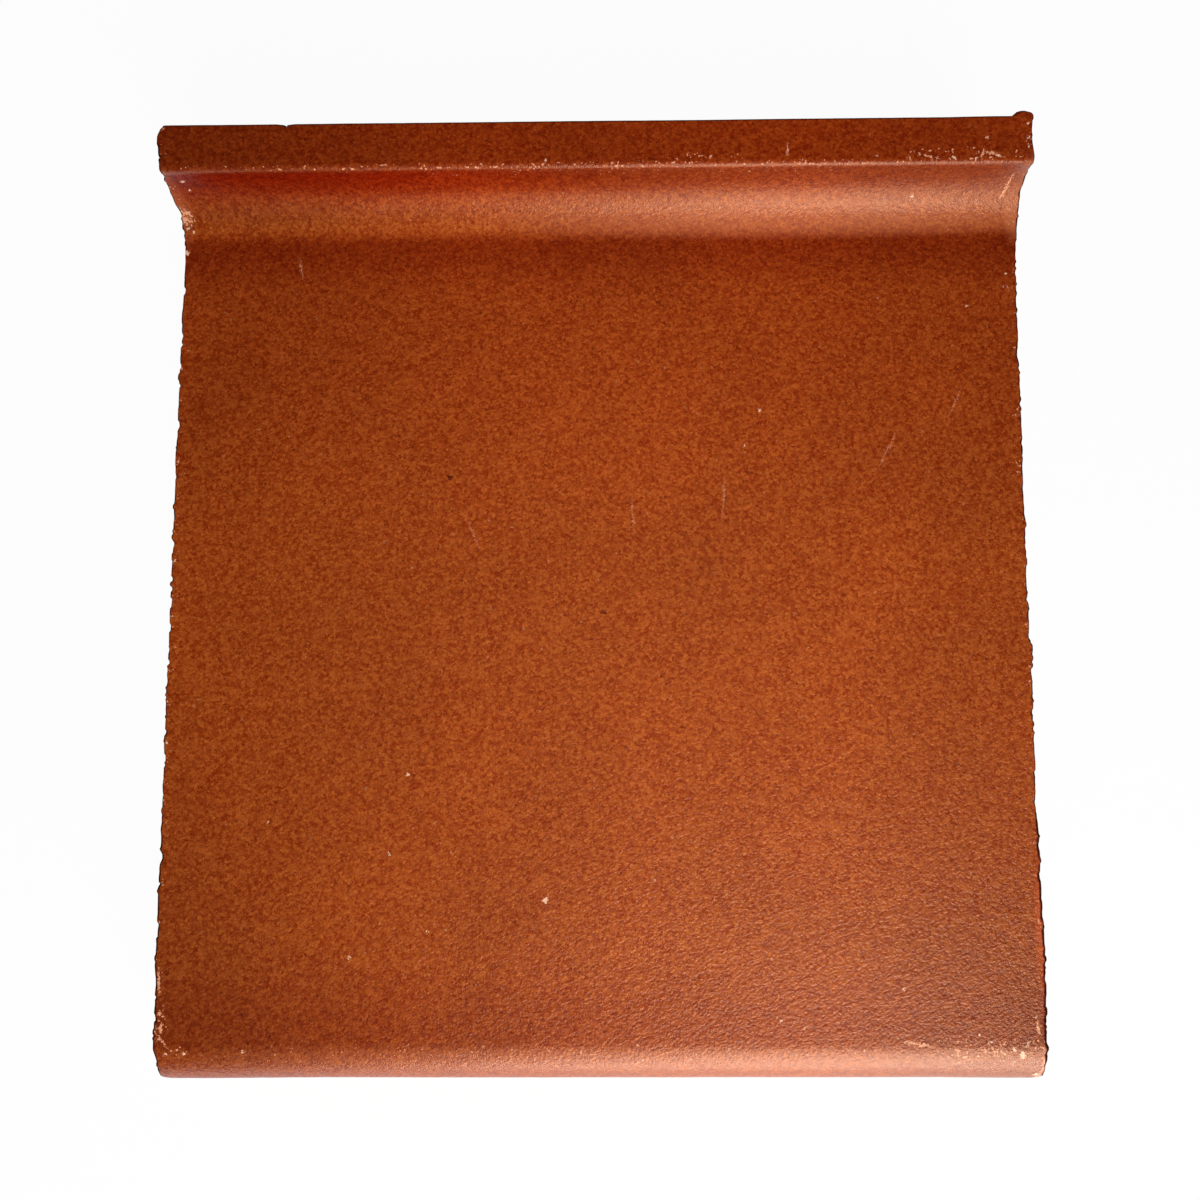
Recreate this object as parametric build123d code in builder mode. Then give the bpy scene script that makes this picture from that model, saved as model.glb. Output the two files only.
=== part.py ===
"""Unglazed quarry cove base tile: one extruded clay section, cut to length and fired.

The tile lies on its ribbed back with its face up. +X runs along the extrusion, +Y runs down the
wall side towards the toe that meets the floor, and +Z comes out of the face. The origin is the
middle of the footprint on the plane of the back ribs. All sizes are in millimetres.
"""

import os

from build123d import *

# Overall sizes
tile_width = 152.4  # between the two cut ends
tile_height = 166.8  # from the rounded top edge to the underside of the toe
body_thickness = 12.7  # from the back ribs to the face

# Cove, toe and rounded top edge
cove_radius = 9.5  # hollow between the face and the toe
lip_radius = 1.0  # rounded lip where the hollow meets the toe's nose
toe_thickness = 8.4  # from the lip to the underside of the toe
top_radius = 8.0  # quarter round from the face down to the top edge

# Worn arrises
toe_arris = 0.4  # far edge of the toe's nose
back_arris = 1.0  # both long edges of the back
end_arris = 0.3  # all round each cut end

# Key ribs that the die leaves on the back
rib_width = 7.0  # flat land between two grooves
groove_width = 8.5  # mouth of a groove, on the plane of the back
groove_depth = 1.6
groove_flank_angle = 60.0  # degrees between the plane of the back and a groove's side
back_margin = 9.0  # least plain strip along each long edge of the back

# Levels above the back, and places along the tile's height
nose_level = body_thickness + cove_radius + lip_radius
underside_y = tile_height / 2
top_edge_y = -tile_height / 2
cove_foot_y = underside_y - toe_thickness - cove_radius
face_top = (top_edge_y + top_radius, body_thickness)
face_foot = (cove_foot_y, body_thickness)
toe_tip = (underside_y, nose_level)
toe_heel = (underside_y, 0)
top_heel = (top_edge_y, 0)

# As many grooves as fit between the two margins
groove_pitch = rib_width + groove_width
groove_count = int((tile_height - 2 * back_margin + rib_width) // groove_pitch)

with BuildPart() as tile:
    # Section across the extrusion: local x is +Y and local y is +Z
    with BuildSketch(Plane.YZ) as section:
        with BuildLine():
            top_round = JernArc(face_top, (-1, 0), top_radius, 90)
            Line(face_top, face_foot)
            cove = JernArc(face_foot, (1, 0), cove_radius, 90)
            lip = JernArc(cove @ 1, (0, 1), lip_radius, -90)
            Polyline(lip @ 1, toe_tip, toe_heel, top_heel, top_round @ 1)
        make_face()
        fillet(section.vertices().sort_by_distance(toe_tip)[0], toe_arris)
        fillet(section.vertices().group_by(Axis.Y)[0], back_arris)
        with GridLocations(groove_pitch, 0, groove_count, 1):
            Trapezoid(
                groove_width,
                groove_depth,
                groove_flank_angle,
                align=(Align.CENTER, Align.MIN),
                mode=Mode.SUBTRACT,
            )
    # The column is cut to length, and the cut edges are rubbed down
    extrude(amount=tile_width / 2, both=True)
    fillet(tile.faces().filter_by(Axis.X).edges(), end_arris)

tile.part.label = "cove_base_tile"

os.makedirs("parts", exist_ok=True)
export_step(tile.part, "parts/cove_base_tile.step")
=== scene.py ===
import math

import bmesh
import bpy
import numpy as np
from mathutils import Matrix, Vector, geometry, noise


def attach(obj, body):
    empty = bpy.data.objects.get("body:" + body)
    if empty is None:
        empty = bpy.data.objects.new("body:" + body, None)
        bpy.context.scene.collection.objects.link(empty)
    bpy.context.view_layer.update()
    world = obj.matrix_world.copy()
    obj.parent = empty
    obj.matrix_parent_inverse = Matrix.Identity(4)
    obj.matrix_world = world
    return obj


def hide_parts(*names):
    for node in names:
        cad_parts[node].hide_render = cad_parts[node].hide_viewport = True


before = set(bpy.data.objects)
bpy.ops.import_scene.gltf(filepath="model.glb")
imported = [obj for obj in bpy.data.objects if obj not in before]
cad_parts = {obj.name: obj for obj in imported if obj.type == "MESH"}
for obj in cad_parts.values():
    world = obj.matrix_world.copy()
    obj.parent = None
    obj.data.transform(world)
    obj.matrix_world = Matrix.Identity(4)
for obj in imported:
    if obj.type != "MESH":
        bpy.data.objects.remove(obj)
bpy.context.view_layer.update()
scene = bpy.context.scene
scene.view_settings.view_transform = "Standard"


# The tile: one column of red clay pushed through a die, wire-cut to length, dried and fired unglazed.
# The die draws its section, the wire drags and tears the two ends, and handling chips the arrises.
# It lies on its ribbed back. Sizes are in mm: x along the column, y to the toe, z out of the face.
MM = 0.001
tile_width, tile_height, body_thickness = 152.4, 166.8, 12.7
cove_radius, lip_radius, toe_thickness, top_radius = 9.5, 1.0, 8.4, 8.0
toe_arris, back_arris = 0.4, 1.0
groove_pitch, groove_width, groove_depth, groove_count = 15.5, 8.5, 1.6, 10
groove_flank = math.radians(60)
groove_run = groove_depth / math.tan(groove_flank)

nose_z = body_thickness + cove_radius + lip_radius
foot_y, top_y = tile_height / 2, -tile_height / 2
lip_y = foot_y - toe_thickness
cove_foot_y = lip_y - cove_radius
end_x = tile_width / 2


def straight(start, end, step):
    """Points along a straight of the die, without the last one."""
    count = max(1, round(math.dist(start, end) / step))
    return [tuple(a + (b - a) * i / count for a, b in zip(start, end)) for i in range(count)]


def bend(centre, radius, first, last, step):
    """Points along an arc of the die, without the last one. Angles are in degrees."""
    count = max(2, round(math.radians(abs(last - first)) * radius / step))
    angles = [math.radians(first + (last - first) * i / count) for i in range(count)]
    return [(centre[0] + radius * math.cos(a), centre[1] + radius * math.sin(a)) for a in angles]


# Spacing of the mesh along the section: close on the face and its curves, wider where little is seen.
face_step, hollow_step, lip_step, toe_step = 0.42, 0.4, 0.2, 0.16
top_step, foot_step, rib_step = 0.8, 0.9, 1.8
section = straight((top_y, back_arris), (top_y, body_thickness - top_radius), top_step)
section += bend((top_y + top_radius, body_thickness - top_radius), top_radius, 180, 90, face_step)
section += straight((top_y + top_radius, body_thickness), (cove_foot_y, body_thickness), face_step)
section += bend((cove_foot_y, body_thickness + cove_radius), cove_radius, -90, 0, hollow_step)
section += bend((lip_y + lip_radius, body_thickness + cove_radius), lip_radius, 180, 90, lip_step)
section += straight((lip_y + lip_radius, nose_z), (foot_y - toe_arris, nose_z), face_step)
section += bend((foot_y - toe_arris, nose_z - toe_arris), toe_arris, 90, 0, toe_step)
section += straight((foot_y, nose_z - toe_arris), (foot_y, back_arris), foot_step)
section += bend((foot_y - back_arris, back_arris), back_arris, 0, -90, hollow_step)
here = (foot_y - back_arris, 0)
for groove in range(groove_count):
    middle = ((groove_count - 1) / 2 - groove) * groove_pitch
    half = groove_width / 2
    for there in (
        (middle + half, 0),
        (middle + half - groove_run, groove_depth),
        (middle - half + groove_run, groove_depth),
        (middle - half, 0),
    ):
        section += straight(here, there, rib_step)
        here = there
section += straight(here, (top_y + back_arris, 0), rib_step)
section += bend((top_y + back_arris, back_arris), back_arris, -90, -180, hollow_step)
section = np.array(section)
across, height = section[:, 0], section[:, 1]

# The run of the section that is seen from above, from the rounded edge to the toe.
skin = slice(int(np.argmax(height > 6)), int(np.argmax(across >= foot_y - 0.1)))

tangent = np.roll(section, -1, axis=0) - np.roll(section, 1, axis=0)
tangent /= np.linalg.norm(tangent, axis=1)[:, None]
outward = np.stack([-tangent[:, 1], tangent[:, 0]], axis=1)
along = np.concatenate([[0], np.cumsum(np.linalg.norm(np.diff(section, axis=0), axis=1))])


def ease(value):
    """A smooth step from 0 to 1."""
    value = np.clip(value, 0, 1)
    return value * value * (3 - 2 * value)


def ragged(side, size, seed):
    """Smooth noise from -1 to 1 round the section, with bumps of about the given size."""
    return np.array([noise.noise(Vector((s / size, side * 7.3, seed))) for s in along])


# How far each cut end stands out of square at places along y: drying and firing have bowed them a little.
bow = {
    -1: [
        (-83, 0.0), (-79, 0.0), (-77, 0.15), (-73, 0.0), (-67, 0.06), (-58, 0.3), (-48, 0.14), (-34, 0.08),
        (20, 0.06), (40, 0.0), (60, -0.1), (64, -0.2), (66.6, -0.1), (68.8, 0.56), (70.6, 0.4), (72, 0.55),
        (73.6, 0.7), (74.7, 0.25), (75.0, -0.38), (76.4, -0.42), (77.8, -0.1), (83, 0.15),
    ],
    1: [
        (-83, 0.1), (-79, 0.12), (-75, 0.15), (-72, 0.2), (-67, 0.36), (-52, 0.36), (-44, 0.12), (-34, 0.0),
        (-20, 0.0), (-17.5, 0.12), (-13, 0.27), (-10.5, 0.35), (-8.6, 0.6), (-7.7, 0.04), (2, -0.15),
        (10, 0.0), (14, 0.08), (18, -0.05), (23, 0.05), (25.5, 0.24), (31, 0.2), (38, 0.1), (56, 0.12),
        (63, 0.36), (66.5, 0.7), (69, 0.8), (72, 0.58), (75, 0.2), (78, 0.05), (83, 0.05),
    ],
}

# The cut stays clean along the back, and a dark rim of painted shade shows round the face and along the toe's
# far edge.
clean_arris = 0.25
upper = ease((height - 1.5) / 2.5)
on_top = height > 6
toe_edge = (across > 80) * (height > nose_z - toe_arris - 0.1)
near_nose = ease((height - nose_z + 2.5) / 2)
near_face = ease((height - 2) / 4)
rim_shows = 0.15 + 0.85 * np.where(across > foot_y - 0.2, near_nose, near_face)

# Round each end: the arris's radius, how far the clay stands past the cut, and where the painted dark rim of
# shade starts.
arris, reach, rim_start = {}, {}, {}
for side in (-1, 1):
    wear = 0.45 + 0.16 * ragged(side, 2.6, 1.5) + 0.1 * ragged(side, 0.9, 4.5)
    lean = np.interp(across, [y for y, _ in bow[side]], [out for _, out in bow[side]])
    tear = 0.06 + 0.14 * ragged(side, 3.4, 8.5) + 0.1 * ragged(side, 1.1, 2.5)
    tear -= (0.2 - 0.08 * side) * ease((ragged(side, 1.5, 5.5) - 0.28) / 0.12)
    tear += 0.2 * ease((ragged(side, 0.9, 9.5) - 0.3) / 0.1)
    lost = (0.97 + 0.08 * side) * ease((-81.2 - across) / 2.0) * ease((height - 3) / 4)
    if side < 0:
        # The toe's left corner is knocked off, and so is the start of the rounded edge.
        # The arris is rubbed most at the toe and along the last third.
        lost += 0.95 * ease((across - 82.0) / 1.2) * ease((height - 20.3) / 2)
        lost += 0.6 * np.exp(-(((across + 77.9) / 1.5) ** 2)) * on_top
        rough = np.maximum(ease((-30 - across) / 10) * on_top, across > 75)
        wear += 0.14 * rough
    else:
        # The wire has rolled a burr along the last third of the right end, down to the rounded edge.
        rough = ease((-36 - across) / 5) * ease((across + 80) / 3) * on_top
        wear += 0.32 * rough
        lost += 0.3 * ease((-80.6 - across) / 2.4) * (height > 3)
        tear += rough * (0.14 + 0.12 * ragged(side, 2.2, 3.5))
        tear += 0.3 * np.exp(-(((across + 76.0) / 0.6) ** 2)) * on_top
    worst = np.where(toe_edge, 0.32, 1.0)
    arris[side] = clean_arris + (np.clip(wear, 0.16, worst) - clean_arris) * upper
    reach[side] = (lean + tear - lost) * upper
    rim_start[side] = np.maximum(0.04, 0.16 - 0.5 * ragged(side, 1.3, 6.5) - 0.18 * rough)

# Stations along the column, from the left end to the right: flat cut, rounded arris, dense edge, open face.
# The open ones are a little over 1 mm apart, with three more at a nick in the toe. The flat of each cut lies
# a little behind its arris.
cut_depth, turn_count = 0.3, 5
edge_steps = [1.3, 1.7, 2.1, 2.7, 3.4, 4.3, 5.3]
open_start, open_count = 6.4, 126
nick_x, nick_step = -53.8, 0.35
end_steps = [("cut", 0)]
end_steps += [("turn", math.radians(90 * k / turn_count)) for k in range(turn_count, -1, -1)]
end_steps += [("edge", step) for step in edge_steps]
open_x = [-end_x + open_start + (tile_width - 2 * open_start) * i / open_count for i in range(open_count + 1)]
open_x = [x for x in open_x if abs(x - nick_x) > 2 * nick_step]
open_x = sorted(open_x + [nick_x - nick_step, nick_x, nick_x + nick_step])
stations = [(-1, *step) for step in end_steps]
stations += [(0, "open", x) for x in open_x]
stations += [(1, *step) for step in reversed(end_steps)]

count = len(section)
points = np.empty((len(stations), count, 3))
# How dark each point is painted as shade in the rim.
painted_rim_shade = np.zeros((len(stations), count))
for station, (side, kind, value) in enumerate(stations):
    inset = np.zeros(count)
    if kind == "cut":
        x = side * (end_x + np.minimum(-cut_depth, reach[side] - 0.1))
        inset = arris[side] + np.where(toe_edge, 0.05, 0.25)
    elif kind == "turn":
        x = side * (end_x + reach[side] - arris[side] * (1 - math.sin(value)))
        inset = arris[side] * (1 - math.cos(value))
        paler = 1 - 0.65 * ease((math.sin(value) - 0.82) / 0.18)
        painted_rim_shade[station] = ease((math.sin(value) - rim_start[side]) / 0.2) * paler * rim_shows
    elif kind == "edge":
        x = side * (end_x - np.maximum(value, arris[side] - reach[side] + 0.1 * value))
    else:
        x = np.full(count, value)
    painted_rim_shade[station] = np.maximum(painted_rim_shade[station], toe_edge * ease((outward[:, 0] - 0.15) / 0.3))
    points[station, :, 0] = x
    points[station, :, 1:] = section - outward * inset[:, None]

# The die leaves the skin a little wavy, apart from the ribs that the tile lies on, and a flake has come off
# the left end in the hollow.
flake, flake_radius = Vector((-76.3, 70.0, 13.9)), 2.7
bare = np.zeros((len(stations), count))
for station in range(len(stations)):
    for i in np.nonzero(height > 0.8)[0]:
        spot = Vector(points[station, i])
        rise = 0.02 * noise.noise(spot / 2.3) + 0.05 * noise.noise(spot / 19 + Vector((3, 5, 8)))
        near = 1 - (spot - flake).length / flake_radius
        if near > 0:
            bare[station, i] = min(1, near * 3)
            rise -= 0.55 * ease(near * 1.6) * (1 + 0.5 * noise.noise(spot / 0.7))
        points[station, i, 1:] += outward[i] * rise

# The toe's tip leans out a little, with a knob of clay on its right corner and a nick near the left.
# The rounded edge bulges a little, most towards both ends.
knob_x, knob_half, nick_half = 74.7, 1.8, 0.3
toe_tip = np.hypot(points[:, :, 1] - foot_y, points[:, :, 2] - nose_z)
tip = ease(1.2 - toe_tip / 2.6)
knob = np.sqrt(np.clip(1 - ((points[:, :, 0] - knob_x) / knob_half) ** 2, 0, 1)) * tip
points[:, :, 1] += 0.75 * knob + (0.1 + 0.1 * ease((points[:, :, 0] - 60) / 10)) * tip
points[:, :, 2] += 0.35 * knob
bulge = 0.05 + 0.1 * ease((np.abs(points[:, :, 0]) - 55) / 15)
points[:, :, 1] -= bulge * ease((-76 - points[:, :, 1]) / 6)
nick = np.exp(-(((points[:, :, 0] - nick_x) / nick_half) ** 2)) * ease(1.2 - toe_tip / 0.7)
points[:, :, 1] -= 0.45 * nick
points[:, :, 2] -= 0.3 * nick

faces = []
for station in range(len(stations) - 1):
    for i in range(count):
        j = (i + 1) % count
        near, far = station * count, (station + 1) * count
        faces.append((near + i, near + j, far + j, far + i))

# Each cut end is filled with small faces, so that a chipped corner doesn't tilt the whole end.
fill_step, end_points = 2.4, []
for station, side in ((0, -1), (len(stations) - 1, 1)):
    ring = points[station, :, 1:]
    spots = [Vector(spot) for spot in ring]
    names = [station * count + i for i in range(count)]
    for y in np.arange(top_y + fill_step, foot_y - 2, fill_step):
        for z in np.arange(3.3, np.interp(y, across[skin], height[skin]) - 1.5, fill_step):
            if np.hypot(ring[:, 0] - y, ring[:, 1] - z).min() > 1:
                spots.append(Vector((y, z)))
                names.append(len(stations) * count + len(end_points))
                wave = noise.noise(Vector((side * 9, y / 4, z / 6)))
                end_points.append((side * (end_x - cut_depth + 0.1 * wave), y, z))
    filled = geometry.delaunay_2d_cdt(spots, [], [list(range(count))], 1, 1e-6)
    for corners in filled[2]:
        faces.append(tuple(names[filled[3][corner][0]] for corner in corners))

tile_mesh = bpy.data.meshes.new("cove_base_tile_clay")
tile_points = np.concatenate([points.reshape(-1, 3), end_points]) * MM
tile_mesh.from_pydata(tile_points.tolist(), [], faces)
work = bmesh.new()
work.from_mesh(tile_mesh)
bmesh.ops.recalc_face_normals(work, faces=work.faces)
work.to_mesh(tile_mesh)
work.free()
tile_mesh.polygons.foreach_set("use_smooth", [True] * len(tile_mesh.polygons))
for name, field in (("bare", bare), ("painted_rim_shade", painted_rim_shade)):
    values = np.concatenate([field.ravel(), np.zeros(len(end_points))])
    tile_mesh.attributes.new(name, "FLOAT", "POINT").data.foreach_set("value", values)
tile = bpy.data.objects.new("cove_base_tile_clay", tile_mesh)
scene.collection.objects.link(tile)


def linear(code):
    """An sRGB hex value as linear red, green, blue and alpha."""
    parts = [int(code[i : i + 2], 16) / 255 for i in (1, 3, 5)]
    return [p / 12.92 if p <= 0.04045 else ((p + 0.055) / 1.055) ** 2.4 for p in parts] + [1.0]


def put(tree, kind, inputs=None, **settings):
    """Adds a node with its settings, its input values and its links."""
    made = tree.nodes.new(kind)
    for name, value in settings.items():
        setattr(made, name, value)
    for socket, value in (inputs or {}).items():
        if isinstance(value, bpy.types.Node):
            value = value.outputs["Result"] if "Result" in value.outputs else value.outputs[0]
        if isinstance(value, bpy.types.NodeSocket):
            tree.links.new(value, made.inputs[socket])
        else:
            made.inputs[socket].default_value = value
    return made


# Unglazed vitrified red clay, drawn through a die: matte and sandy, with a faint sheen on the curves.
# Its sand shows as grains about half a millimetre across, iron as dark spots and worn places as pale flecks.
clay = bpy.data.materials.new("unglazed_red_clay")
clay.use_nodes = True
tree = clay.node_tree
tree.nodes.clear()
place = put(tree, "ShaderNodeTexCoord").outputs["Object"]
place = put(tree, "ShaderNodeVectorMath", {0: place, "Scale": 1 / MM}, operation="SCALE").outputs[0]
axes = put(tree, "ShaderNodeSeparateXYZ", {0: place})
facing = put(tree, "ShaderNodeSeparateXYZ", {0: put(tree, "ShaderNodeNewGeometry").outputs["Normal"]})

grain_size, lump_size, patch_size, fray_size = 0.5, 1.0, 30.0, 0.35
lumps = put(tree, "ShaderNodeTexNoise", {"Vector": place, "Scale": 1 / lump_size, "Detail": 1.0})
patches = put(tree, "ShaderNodeTexNoise", {"Vector": place, "Scale": 1 / patch_size, "Detail": 1.0})
fray = put(tree, "ShaderNodeTexNoise", {"Vector": place, "Scale": 1 / fray_size, "Detail": 0.0})
fray = put(tree, "ShaderNodeVectorMath", {0: fray.outputs["Color"], 1: (0.5, 0.5, 0.5)}, operation="SUBTRACT")
rough_place = put(
    tree, "ShaderNodeVectorMath", {0: fray, 1: (0.7, 0.7, 0.7), 2: place}, operation="MULTIPLY_ADD"
)
sand = put(tree, "ShaderNodeTexVoronoi", {"Vector": rough_place, "Scale": 1 / grain_size})
grain = put(tree, "ShaderNodeSeparateColor", {0: sand.outputs["Color"]})
tone = put(
    tree,
    "ShaderNodeMath",
    {0: sand.outputs["Distance"], 1: -0.9, 2: grain.outputs[0]},
    operation="MULTIPLY_ADD",
)
tone = put(tree, "ShaderNodeMapRange", {"Value": tone, "From Min": -0.5, "From Max": 0.8})
body = put(
    tree,
    "ShaderNodeMix",
    {"Factor": tone, "A": linear("#902c01"), "B": linear("#c46123")},
    data_type="RGBA",
).outputs["Result"]

# Iron spots and pale bits of grog, each in some cells only.
cell_size = 1.2
cells = put(tree, "ShaderNodeTexVoronoi", {"Vector": rough_place, "Scale": 1 / cell_size})
chosen = put(tree, "ShaderNodeSeparateColor", {0: cells.outputs["Color"]})
for channel, spot_size, share, colour in ((0, 0.22, 0.45, "#6f1f00"), (1, 0.2, 0.04, "#cc8354")):
    spot = put(
        tree,
        "ShaderNodeMapRange",
        {
            "Value": cells.outputs["Distance"],
            "From Min": 1.4 * spot_size / cell_size,
            "From Max": 0.6 * spot_size / cell_size,
            "To Max": 0.8,
        },
    )
    picked = put(tree, "ShaderNodeMath", {0: chosen.outputs[channel], 1: share}, operation="LESS_THAN")
    spot = put(tree, "ShaderNodeMath", {0: spot, 1: picked}, operation="MULTIPLY")
    body = put(
        tree, "ShaderNodeMix", {"Factor": spot, "A": body, "B": linear(colour)}, data_type="RGBA"
    ).outputs["Result"]

# Painted light and shade, laid on the clay as colour. It is painted darker towards both ends. In bands across
# y it is painted darker and redder as shade, as at the foot of the hollow, high in the hollow and at the toe,
# or paler as a painted highlight, as in the hollow and at the start of the rounded edge.
shade_and_tone, painted_bands = None, None
for start, end, depth in ((-10.0, -77.0, 0.23), (34.0, 77.0, 0.17)):
    zone = put(
        tree,
        "ShaderNodeMapRange",
        {"Value": axes.outputs["X"], "From Min": start, "From Max": end, "To Min": 1.0, "To Max": 1 - depth},
        interpolation_type="SMOOTHSTEP",
    )
    shade_and_tone = zone if shade_and_tone is None else put(tree, "ShaderNodeMath", {0: shade_and_tone, 1: zone}, operation="MULTIPLY")
for start, end, depth in (
    (-74.8, -77.0, -0.18),
    (-60.0, -73.0, 0.15),
    (-5.0, 62.0, 0.14),
    (55.0, 65.0, 0.24),
    (65.4, 68.4, -0.58),
    (72.2, 74.4, 0.24),
    (75.0, 76.4, 0.11),
):
    zone = put(
        tree,
        "ShaderNodeMapRange",
        {"Value": axes.outputs["Y"], "From Min": start, "From Max": end, "To Min": 1.0, "To Max": 1 - depth},
        interpolation_type="SMOOTHSTEP",
    )
    painted_bands = zone if painted_bands is None else put(tree, "ShaderNodeMath", {0: painted_bands, 1: zone}, operation="MULTIPLY")
green = put(tree, "ShaderNodeMath", {0: painted_bands, 1: 2.2}, operation="POWER")
blue = put(tree, "ShaderNodeMath", {0: painted_bands, 1: 3.2}, operation="POWER")
painted_bands = put(tree, "ShaderNodeCombineColor", {0: painted_bands, 1: green, 2: blue})
body = put(tree, "ShaderNodeVectorMath", {0: body, 1: painted_bands}, operation="MULTIPLY").outputs[0]

# Painted shade too in the left half of the hollow and at the two lower corners, with soft lumps and broad
# patches of tone.
leftward = put(
    tree,
    "ShaderNodeMapRange",
    {"Value": axes.outputs["X"], "From Min": 20.0, "From Max": -70.0, "To Max": 0.2},
    interpolation_type="SMOOTHSTEP",
)
hollow = put(
    tree,
    "ShaderNodeMapRange",
    {"Value": axes.outputs["Y"], "From Min": 67.0, "From Max": 71.0},
    interpolation_type="SMOOTHSTEP",
)
zone = put(tree, "ShaderNodeMath", {0: leftward, 1: hollow}, operation="MULTIPLY")
zone = put(tree, "ShaderNodeMath", {0: 1.0, 1: zone}, operation="SUBTRACT")
shade_and_tone = put(tree, "ShaderNodeMath", {0: shade_and_tone, 1: zone}, operation="MULTIPLY")
for x, y, size, depth in ((-78.0, -80.0, 48.0, 0.2), (78.0, -72.0, 40.0, 0.2)):
    zone = put(tree, "ShaderNodeVectorMath", {0: place, 1: (x, y, body_thickness)}, operation="DISTANCE")
    zone = put(
        tree,
        "ShaderNodeMapRange",
        {
            "Value": zone.outputs["Value"],
            "From Min": size,
            "From Max": 0.0,
            "To Min": 1.0,
            "To Max": 1 - depth,
        },
        interpolation_type="SMOOTHSTEP",
    )
    shade_and_tone = put(tree, "ShaderNodeMath", {0: shade_and_tone, 1: zone}, operation="MULTIPLY")
for field, swing in ((lumps, 0.14), (patches, 0.2)):
    zone = put(
        tree,
        "ShaderNodeMapRange",
        {
            "Value": field.outputs[0],
            "From Min": 0.25,
            "From Max": 0.75,
            "To Min": 1 - swing / 2,
            "To Max": 1 + swing / 2,
        },
    )
    shade_and_tone = put(tree, "ShaderNodeMath", {0: shade_and_tone, 1: zone}, operation="MULTIPLY")
body = put(tree, "ShaderNodeVectorMath", {0: body, "Scale": shade_and_tone}, operation="SCALE").outputs[0]

# On the left, painted shade makes the clay darker and redder high in the hollow and low on the rounded edge.
for axis, start, end, amount, limits, colour in (
    ("Z", 13.5, 20.5, 0.85, (("X", 10.0, -38.0), ("Y", 76.2, 75.6), ("Z", 22.8, 22.0)), "#ff8c70"),
    ("Y", -79.5, -82.0, 0.7, (("X", 10.0, -50.0),), "#f9cbaa"),
):
    red_shade = put(
        tree,
        "ShaderNodeMapRange",
        {"Value": axes.outputs[axis], "From Min": start, "From Max": end, "To Max": amount},
    )
    for limit, outside, inside in limits:
        zone = put(
            tree,
            "ShaderNodeMapRange",
            {"Value": axes.outputs[limit], "From Min": outside, "From Max": inside},
        )
        red_shade = put(tree, "ShaderNodeMath", {0: red_shade, 1: zone}, operation="MULTIPLY")
    body = put(
        tree,
        "ShaderNodeMix",
        {"Factor": red_shade, "A": body, "B": linear(colour)},
        data_type="RGBA",
        blend_type="MULTIPLY",
    ).outputs["Result"]

# Painted highlights: paler on the rounded edge, more so towards the right, in a band along the hollow and in
# a line along the right arris. Rubbing has paled the two ends of the hollow.
painted_edge_highlight = put(
    tree,
    "ShaderNodeMapRange",
    {"Value": axes.outputs["Y"], "From Min": -74.2, "From Max": -78.1, "To Max": 0.25},
    interpolation_type="SMOOTHSTEP",
)
to_right = put(tree, "ShaderNodeMapRange", {"Value": axes.outputs["X"], "From Min": -72.0, "From Max": 0.0})
painted_edge_highlight = put(tree, "ShaderNodeMath", {0: painted_edge_highlight, 1: to_right}, operation="MULTIPLY")
body = put(
    tree, "ShaderNodeMix", {"Factor": painted_edge_highlight, "A": body, "B": linear("#c3866c")}, data_type="RGBA"
).outputs["Result"]


def oval(x, y, half_x, half_y, amount):
    """How much an oval place, as seen from above, is marked: the amount in its middle and nothing outside."""
    zone = put(tree, "ShaderNodeVectorMath", {0: place, 1: (x, y, 0.0)}, operation="SUBTRACT")
    zone = put(tree, "ShaderNodeVectorMath", {0: zone, 1: (1 / half_x, 1 / half_y, 0)}, operation="MULTIPLY")
    zone = put(tree, "ShaderNodeVectorMath", {0: zone}, operation="LENGTH").outputs["Value"]
    return put(tree, "ShaderNodeMapRange", {"Value": zone, "From Min": 1, "From Max": 0.3, "To Max": amount})


for x, y, half_x, half_y, amount, colour in (
    (-76.8, 71.0, 3.0, 8.0, 0.45, "#b8613a"),
    (77.0, 71.0, 3.4, 7.5, 0.4, "#c9764b"),
    (76.2, -56.0, 1.5, 14.0, 0.5, "#d0582c"),
    (36.0, 69.2, 62.0, 3.6, 0.24, "#df8a67"),
):
    zone = oval(x, y, half_x, half_y, amount)
    body = put(
        tree, "ShaderNodeMix", {"Factor": zone, "A": body, "B": linear(colour)}, data_type="RGBA"
    ).outputs["Result"]

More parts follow.
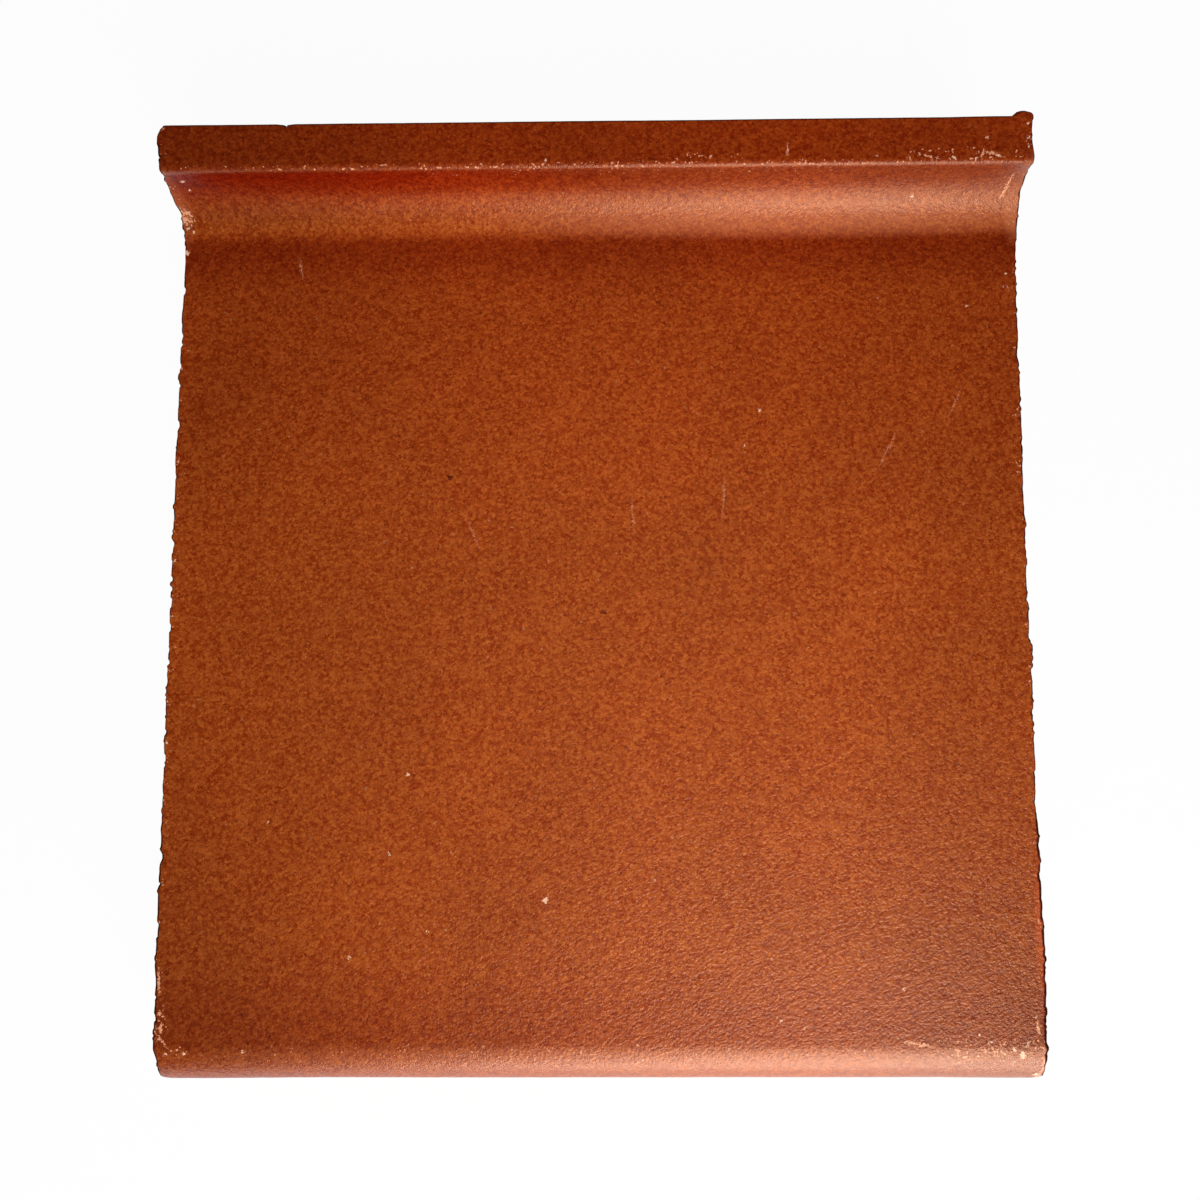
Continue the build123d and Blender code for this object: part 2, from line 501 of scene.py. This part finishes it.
# Marks of handling: x, y and radius of each pale fleck and pinhole, both ends and half width of each scratch.
flecks = [
    (-9.0, -51.3, 0.42), (-33.1, -30.1, 0.28), (10.0, -48.0, 0.26), (26.6, 27.8, 0.26),
    (29.4, 34.1, 0.24), (-42.8, -60.7, 0.24), (-36.2, -43.5, 0.22), (-29.4, -56.5, 0.2),
    (-57.6, -38.2, 0.22), (52.3, -66.1, 0.22), (31.3, -71.3, 0.24), (35.5, -72.4, 0.22),
    (51.2, 54.6, 0.2), (67.3, 53.0, 0.22), (74.6, 58.9, 0.3), (74.0, 56.6, 0.22), (57.1, 72.4, 0.34),
    (49.2, 76.6, 0.22), (56.6, 76.7, 0.2), (68.3, 79.7, 0.22), (66.2, 76.0, 0.3), (59.5, 76.0, 0.24),
    (62.5, 76.1, 0.34), (70.0, 76.5, 0.36), (-8.3, 76.4, 0.24), (75.4, 82.0, 0.24), (75.4, 79.6, 0.26),
    (75.5, 77.9, 0.22), (-73.3, 74.7, 0.28), (-72.9, 73.9, 0.24), (-75.6, 64.2, 0.4), (-75.8, 69.9, 0.5),
    (-75.5, 68.7, 0.42), (-74.9, 69.3, 0.34), (-74.5, 68.0, 0.26), (-75.6, 7.5, 0.26),
    (-75.8, -2.3, 0.24), (-75.7, -24.4, 0.26), (-75.1, -74.3, 0.26), (-74.0, -76.6, 0.3),
    (-70.7, -76.5, 0.3), (-60.6, -76.3, 0.3), (72.2, -77.0, 0.55), (70.6, -76.0, 0.3), (73.0, -75.2, 0.3),
    (66.6, -74.7, 0.26), (64.8, -73.6, 0.26), (64.6, -77.0, 0.24), (74.9, -81.0, 0.5),
    (74.6, -70.6, 0.24),
]
pinholes = [
    (-26.5, 22.2, 0.46), (28.4, 16.6, 0.34), (1.2, -1.9, 0.34), (-61.0, -70.0, 0.3), (63.0, -60.2, 0.3),
]
faint_scratches = [
    (-54.6, 62.4, -54.1, 59.5, 0.13), (6.2, 18.0, 6.6, 11.7, 0.1), (22.9, 21.5, 22.5, 15.2, 0.1),
    (53.6, 29.4, 50.7, 24.0, 0.11), (65.5, 37.5, 63.5, 33.0, 0.11), (-22.8, 13.7, -21.3, 10.1, 0.11),
]
deep_scratches = [
    (74.0, 74.6, 73.6, 73.4, 0.2), (73.8, 73.4, 73.0, 72.0, 0.2), (68.2, 76.9, 70.6, 76.3, 0.2),
    (33.7, 78.6, 33.7, 77.0, 0.16), (75.9, -76.6, 75.8, -80.0, 0.26), (75.7, -80.4, 75.1, -82.5, 0.3),
    (74.6, -82.7, 70.6, -83.0, 0.24), (52.3, -74.8, 56.6, -75.4, 0.2),
    (-75.6, -63.0, -75.4, -66.2, 0.16), (-75.6, -73.0, -73.6, -75.6, 0.1), (74.8, -71.4, 74.9, -73.2, 0.2),
]
torn_place = put(
    tree, "ShaderNodeVectorMath", {0: fray, 1: (0.9, 0.9, 0.9), 2: place}, operation="MULTIPLY_ADD"
)


def on_skin(x, y):
    """The place on the tile's upper side that is seen at x and y."""
    return Vector((x, y, float(np.interp(y, across[skin], height[skin]))))


def gap_to(spots):
    """How far outside the nearest of some ragged round spots a place is, in mm."""
    gap = None
    for x, y, radius in spots:
        away = put(tree, "ShaderNodeVectorMath", {0: torn_place, 1: on_skin(x, y)}, operation="DISTANCE")
        away = put(tree, "ShaderNodeMath", {0: away.outputs["Value"], 1: radius}, operation="SUBTRACT")
        gap = away if gap is None else put(tree, "ShaderNodeMath", {0: gap, 1: away}, operation="MINIMUM")
    return gap


white_fleck = put(tree, "ShaderNodeMapRange", {"Value": gap_to(flecks), "From Min": 0.08, "From Max": -0.14})
pinhole = put(
    tree,
    "ShaderNodeMapRange",
    {"Value": gap_to(pinholes), "From Min": 0.1, "From Max": -0.15, "To Max": 0.85},
)
scratch = None
for scratches, strength in ((faint_scratches, 0.45), (deep_scratches, 1.0)):
    gap = None
    for x0, y0, x1, y1, radius in scratches:
        start, end = on_skin(x0, y0), on_skin(x1, y1)
        line = put(
            tree,
            "ShaderNodeMapping",
            {
                "Vector": torn_place,
                "Location": (start + end) / 2,
                "Rotation": (end - start).to_track_quat("X", "Z").to_euler(),
                "Scale": ((end - start).length / 2 + radius, radius, max(radius, 0.5)),
            },
            vector_type="TEXTURE",
        )
        away = put(tree, "ShaderNodeVectorMath", {0: line}, operation="LENGTH").outputs["Value"]
        gap = away if gap is None else put(tree, "ShaderNodeMath", {0: gap, 1: away}, operation="MINIMUM")
    mark = put(
        tree, "ShaderNodeMapRange", {"Value": gap, "From Min": 1.5, "From Max": 0.5, "To Max": strength}
    )
    if scratch is not None:
        mark = put(tree, "ShaderNodeMath", {0: scratch, 1: mark}, operation="MAXIMUM")
    scratch = mark

# Flecks worn off the high grains: along the start of the rounded edge, along the lip, and near all arrises.
wear = None
for x, y, half_x, half_y, amount in (
    (0.0, -76.4, 110.0, 2.6, 0.05),
    (0.0, 75.5, 110.0, 0.8, 0.11),
    (64.0, 76.6, 13.0, 1.9, 0.16),
    (19.0, 76.5, 9.0, 1.5, 0.14),
    (68.0, -76.0, 18.0, 3.4, 0.125),
    (-75.6, -72.0, 2.8, 8.0, 0.13),
    (-73.0, -76.4, 8.0, 1.6, 0.13),
):
    zone = oval(x, y, half_x, half_y, amount)
    wear = zone if wear is None else put(tree, "ShaderNodeMath", {0: wear, 1: zone}, operation="MAXIMUM")
sides = put(tree, "ShaderNodeMath", {0: axes.outputs["X"]}, operation="ABSOLUTE")
at_arris = put(
    tree, "ShaderNodeMapRange", {"Value": sides, "From Min": 73.6, "From Max": 75.6, "To Max": 0.05}
)
wear = put(tree, "ShaderNodeMath", {0: wear, 1: at_arris}, operation="MAXIMUM")
bare_clay = put(tree, "ShaderNodeAttribute", attribute_name="bare").outputs["Fac"]
chipped = put(tree, "ShaderNodeMath", {0: bare_clay, 1: 0.28}, operation="MULTIPLY")
wear = put(tree, "ShaderNodeMath", {0: wear, 1: chipped}, operation="MAXIMUM")
cluster_size, crumb_size = 2.6, 0.5
clusters = put(tree, "ShaderNodeTexNoise", {"Vector": place, "Scale": 1 / cluster_size, "Detail": 1.0})
clusters = put(
    tree,
    "ShaderNodeMapRange",
    {"Value": clusters.outputs[0], "From Min": 0.38, "From Max": 0.62, "To Min": 0.3, "To Max": 1.45},
)
wear = put(tree, "ShaderNodeMath", {0: wear, 1: clusters}, operation="MULTIPLY")
crumbs = put(tree, "ShaderNodeTexNoise", {"Vector": place, "Scale": 1 / crumb_size, "Detail": 1.0})
crumbs = put(tree, "ShaderNodeMath", {0: crumbs.outputs[0], 1: wear}, operation="ADD")
crumbs = put(
    tree, "ShaderNodeMapRange", {"Value": crumbs, "From Min": 0.72, "From Max": 0.78, "To Max": 0.85}
)
in_zone = put(tree, "ShaderNodeMapRange", {"Value": wear, "From Min": 0.02, "From Max": 0.05})
crumbs = put(tree, "ShaderNodeMath", {0: crumbs, 1: in_zone}, operation="MULTIPLY")
worn = put(tree, "ShaderNodeMath", {0: scratch, 1: crumbs}, operation="MAXIMUM")
body = put(
    tree, "ShaderNodeMix", {"Factor": worn, "A": body, "B": linear("#f0a67d")}, data_type="RGBA"
).outputs["Result"]

# The fire has opened the pinholes, whose insides are painted dark as shade.
body = put(
    tree, "ShaderNodeMix", {"Factor": pinhole, "A": body, "B": linear("#4a0d04")}, data_type="RGBA"
).outputs["Result"]

# The torn arrises are painted dark as shade where they turn towards the ends, and along the toe's far edge.
# The wire-cut ends are duller, with the drag lines of grit across them.
turned = put(tree, "ShaderNodeMath", {0: facing.outputs["X"]}, operation="ABSOLUTE")
rim_strength = 0.96
rim = put(tree, "ShaderNodeAttribute", attribute_name="painted_rim_shade").outputs["Fac"]
rim = put(tree, "ShaderNodeMath", {0: rim, 1: rim_strength}, operation="MULTIPLY")
body = put(
    tree, "ShaderNodeMix", {"Factor": rim, "A": body, "B": linear("#2e0805")}, data_type="RGBA"
).outputs["Result"]
drag_width, drag_length = 0.5, 7.0
drag = put(
    tree, "ShaderNodeVectorMath", {0: place, 1: (1.0, 1 / drag_width, 1 / drag_length)}, operation="MULTIPLY"
)
drag = put(tree, "ShaderNodeTexNoise", {"Vector": drag, "Scale": 1.0, "Detail": 3.0, "Roughness": 0.6})
end_tone = put(tree, "ShaderNodeMapRange", {"Value": drag.outputs[0], "From Min": 0.3, "From Max": 0.7})
end_clay = put(
    tree,
    "ShaderNodeMix",
    {"Factor": end_tone, "A": linear("#62240b"), "B": linear("#94451f")},
    data_type="RGBA",
).outputs["Result"]
cut = put(tree, "ShaderNodeMapRange", {"Value": turned, "From Min": 0.94, "From Max": 0.985})
body = put(
    tree, "ShaderNodeMix", {"Factor": cut, "A": body, "B": end_clay}, data_type="RGBA"
).outputs["Result"]

# The back is dusty, with fine lines that the die drew along the ribs.
line_length, line_width = 40.0, 0.6
drawn = put(
    tree,
    "ShaderNodeVectorMath",
    {0: place, 1: (1 / line_length, 1 / line_width, 1 / line_width)},
    operation="MULTIPLY",
)
drawn = put(tree, "ShaderNodeTexNoise", {"Vector": drawn, "Scale": 1.0, "Detail": 2.0})
back_tone = put(tree, "ShaderNodeMapRange", {"Value": drawn.outputs[0], "From Min": 0.3, "From Max": 0.7})
dust = put(
    tree,
    "ShaderNodeMix",
    {"Factor": back_tone, "A": linear("#8a4426"), "B": linear("#b3714e")},
    data_type="RGBA",
).outputs["Result"]
behind = put(
    tree,
    "ShaderNodeMapRange",
    {"Value": facing.outputs["Z"], "From Min": -0.2, "From Max": -0.6, "To Max": 0.8},
)
body = put(
    tree, "ShaderNodeMix", {"Factor": behind, "A": body, "B": dust}, data_type="RGBA"
).outputs["Result"]

# The pale flecks lie over all of these.
body = put(
    tree, "ShaderNodeMix", {"Factor": white_fleck, "A": body, "B": linear("#fdc9a6")}, data_type="RGBA"
).outputs["Result"]

# Relief too fine for the mesh, in mm: lumps, then sand, grit and slanting streaks that the die has smoothed
# a little in the hollow, the drag lines on the ends and the die lines on the back.
streak_length, streak_width, streak_angle, grit_size = 1.4, 0.6, -25, 0.45
slant = put(
    tree, "ShaderNodeVectorRotate", {"Vector": place, "Axis": (0, 0, 1), "Angle": math.radians(streak_angle)}
)
slant = put(
    tree,
    "ShaderNodeVectorMath",
    {0: slant, 1: (1 / streak_length, 1 / streak_width, 1 / streak_width)},
    operation="MULTIPLY",
)
slant = put(tree, "ShaderNodeTexNoise", {"Vector": slant, "Scale": 1.0, "Detail": 1.0})
drawn_smooth = put(
    tree,
    "ShaderNodeMapRange",
    {"Value": axes.outputs["Y"], "From Min": 63.0, "From Max": 68.0, "To Min": 1.0, "To Max": 0.75},
)
grit = put(tree, "ShaderNodeTexNoise", {"Vector": place, "Scale": 1 / grit_size, "Detail": 1.0})
relief = put(tree, "ShaderNodeMath", {0: lumps.outputs[0], 1: 0.04}, operation="MULTIPLY")
for field, mask, depth in (
    (sand.outputs["Distance"], drawn_smooth, -0.034),
    (grit.outputs[0], drawn_smooth, 0.076),
    (slant.outputs[0], drawn_smooth, 0.057),
    (drag.outputs[0], cut, 0.5),
    (drawn.outputs[0], behind, 0.2),
):
    part = put(tree, "ShaderNodeMath", {0: field, 1: depth}, operation="MULTIPLY")
    part = put(tree, "ShaderNodeMath", {0: part, 1: mask}, operation="MULTIPLY")
    relief = put(tree, "ShaderNodeMath", {0: relief, 1: part}, operation="ADD")
relief = put(tree, "ShaderNodeBump", {"Height": relief, "Distance": MM})

# The sheen is lost high in the hollow and low on the rounded edge, most on the left, and on the dark rim.
# The ends and the underside of the toe are plainer and rougher than the face, and the back is roughest.
least_rough, most_rough, plain_roughness = 0.29, 0.41, 0.7
roughness = put(
    tree, "ShaderNodeMapRange", {"Value": grain.outputs[1], "To Min": least_rough, "To Max": most_rough}
)
roughness = put(tree, "ShaderNodeMath", {0: roughness, 1: rim}, operation="MAXIMUM")
roughness = put(tree, "ShaderNodeMath", {0: roughness, 1: behind}, operation="MAXIMUM")
high = put(
    tree,
    "ShaderNodeMapRange",
    {"Value": axes.outputs["Y"], "From Min": 71.4, "From Max": 73.6, "To Max": 0.85},
)
below_lip = put(tree, "ShaderNodeMapRange", {"Value": axes.outputs["Z"], "From Min": 22.6, "From Max": 21.6})
low = put(
    tree,
    "ShaderNodeMapRange",
    {"Value": axes.outputs["Y"], "From Min": -79.5, "From Max": -82.0, "To Max": 0.8},
)
lefter = put(tree, "ShaderNodeMapRange", {"Value": axes.outputs["X"], "From Min": 85.0, "From Max": -10.0})
high = put(tree, "ShaderNodeMath", {0: high, 1: below_lip}, operation="MULTIPLY")
high = put(tree, "ShaderNodeMath", {0: high, 1: lefter}, operation="MULTIPLY")
low = put(tree, "ShaderNodeMath", {0: low, 1: lefter}, operation="MULTIPLY")
dull = put(tree, "ShaderNodeMath", {0: high, 1: low}, operation="MAXIMUM")
dull = put(tree, "ShaderNodeMath", {0: dull, 1: rim}, operation="MAXIMUM")
under = put(tree, "ShaderNodeMapRange", {"Value": facing.outputs["Y"], "From Min": 0.85, "From Max": 0.98})
ends = put(tree, "ShaderNodeMapRange", {"Value": turned, "From Min": 0.35, "From Max": 0.7})
plain = put(tree, "ShaderNodeMath", {0: under, 1: ends}, operation="MAXIMUM")
plain = put(tree, "ShaderNodeMath", {0: plain, 1: plain_roughness}, operation="MULTIPLY")
dull = put(tree, "ShaderNodeMath", {0: dull, 1: plain}, operation="MAXIMUM")
roughness = put(tree, "ShaderNodeMath", {0: roughness, 1: plain}, operation="MAXIMUM")
sheen = put(tree, "ShaderNodeMath", {0: 1.0, 1: dull}, operation="SUBTRACT")
shader = put(
    tree,
    "ShaderNodeBsdfPrincipled",
    {
        "Base Color": body,
        "Roughness": roughness,
        "Specular IOR Level": sheen,
        "Specular Tint": linear("#ffd2b0"),
        "Normal": relief,
    },
)
put(tree, "ShaderNodeOutputMaterial", {"Surface": shader})
tile_mesh.materials.append(clay)
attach(tile, "root")
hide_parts("cove_base_tile")


# The floor: a plain white table that goes past the edge of the picture. It looks an even white. To the clay
# it is matt white paint, so that it lights the tile no more than a table would. Sizes from here on are in m.
table_half = 20
floor_mesh = bpy.data.meshes.new("floor")
table_corners = [(x * table_half, y * table_half, 0) for x, y in ((-1, -1), (1, -1), (1, 1), (-1, 1))]
floor_mesh.from_pydata(table_corners, [], [(0, 1, 2, 3)])
floor = bpy.data.objects.new("floor", floor_mesh)
scene.collection.objects.link(floor)
white = bpy.data.materials.new("white_table")
white.use_nodes = True
white.cycles.emission_sampling = "NONE"
tree = white.node_tree
tree.nodes.clear()
ray = put(tree, "ShaderNodeLightPath")
seen = put(
    tree,
    "ShaderNodeMath",
    {0: ray.outputs["Is Camera Ray"], 1: ray.outputs["Is Glossy Ray"]},
    operation="MAXIMUM",
)
seen = put(tree, "ShaderNodeMath", {0: seen, 1: ray.outputs["Is Transmission Ray"]}, operation="MAXIMUM")
seen = put(tree, "ShaderNodeMath", {0: seen, 1: 0.93}, operation="MULTIPLY")
paint = put(tree, "ShaderNodeBsdfDiffuse", {"Color": linear("#f4f4f4")})
glow = put(tree, "ShaderNodeEmission", {"Color": linear("#ffffff"), "Strength": 1.0})
both = put(tree, "ShaderNodeMixShader", {0: seen, 1: paint.outputs[0], 2: glow.outputs[0]})
put(tree, "ShaderNodeOutputMaterial", {"Surface": both})
floor_mesh.materials.append(white)


# Light: three soft lamps in front of the rounded edge, one above the other, a fill from above and a dim room.
def soft_box(name, spot, size, watts, shine=True):
    """A lamp of the given width and height that faces the tile. A fill leaves no highlight."""
    lamp = bpy.data.lights.new(name, "AREA")
    lamp.shape = "RECTANGLE"
    lamp.size, lamp.size_y = size
    lamp.energy = watts
    holder = bpy.data.objects.new(name, lamp)
    holder.location = spot
    holder.rotation_euler = (Vector((0, 0, 0.01)) - Vector(spot)).to_track_quat("-Z", "Y").to_euler()
    holder.visible_glossy = shine
    scene.collection.objects.link(holder)


soft_box("low_lamp", (0.065, -0.39, 0.085), (0.32, 0.1), 0.64)
soft_box("key_lamp", (0.18, -0.488, 0.30), (0.34, 0.2), 1.0)
soft_box("high_lamp", (0.131, -0.404, 0.424), (0.3, 0.2), 0.85)
soft_box("fill_lamp", (0.0, -0.012, 0.7), (0.4, 0.4), 2.9, shine=False)
room = bpy.data.worlds.new("room")
scene.world = room
room.use_nodes = True
room.node_tree.nodes["Background"].inputs["Color"].default_value = linear("#ffffff")
room.node_tree.nodes["Background"].inputs["Strength"].default_value = 0.02


# The camera: close above the face, as a hand would hold it, tipped a little towards the toe.
lens = bpy.data.cameras.new("camera")
lens.sensor_width, lens.lens = 36.0, 27.75
lens.shift_x, lens.shift_y = -0.04321, -0.08333
lens.clip_start = 0.01
camera = bpy.data.objects.new("camera", lens)
camera.location = (0.011422, 0.003259, 0.177655)
camera.rotation_euler = [math.radians(a) for a in (5.0843, 0.5913, -0.3199)]
scene.collection.objects.link(camera)
scene.camera = camera
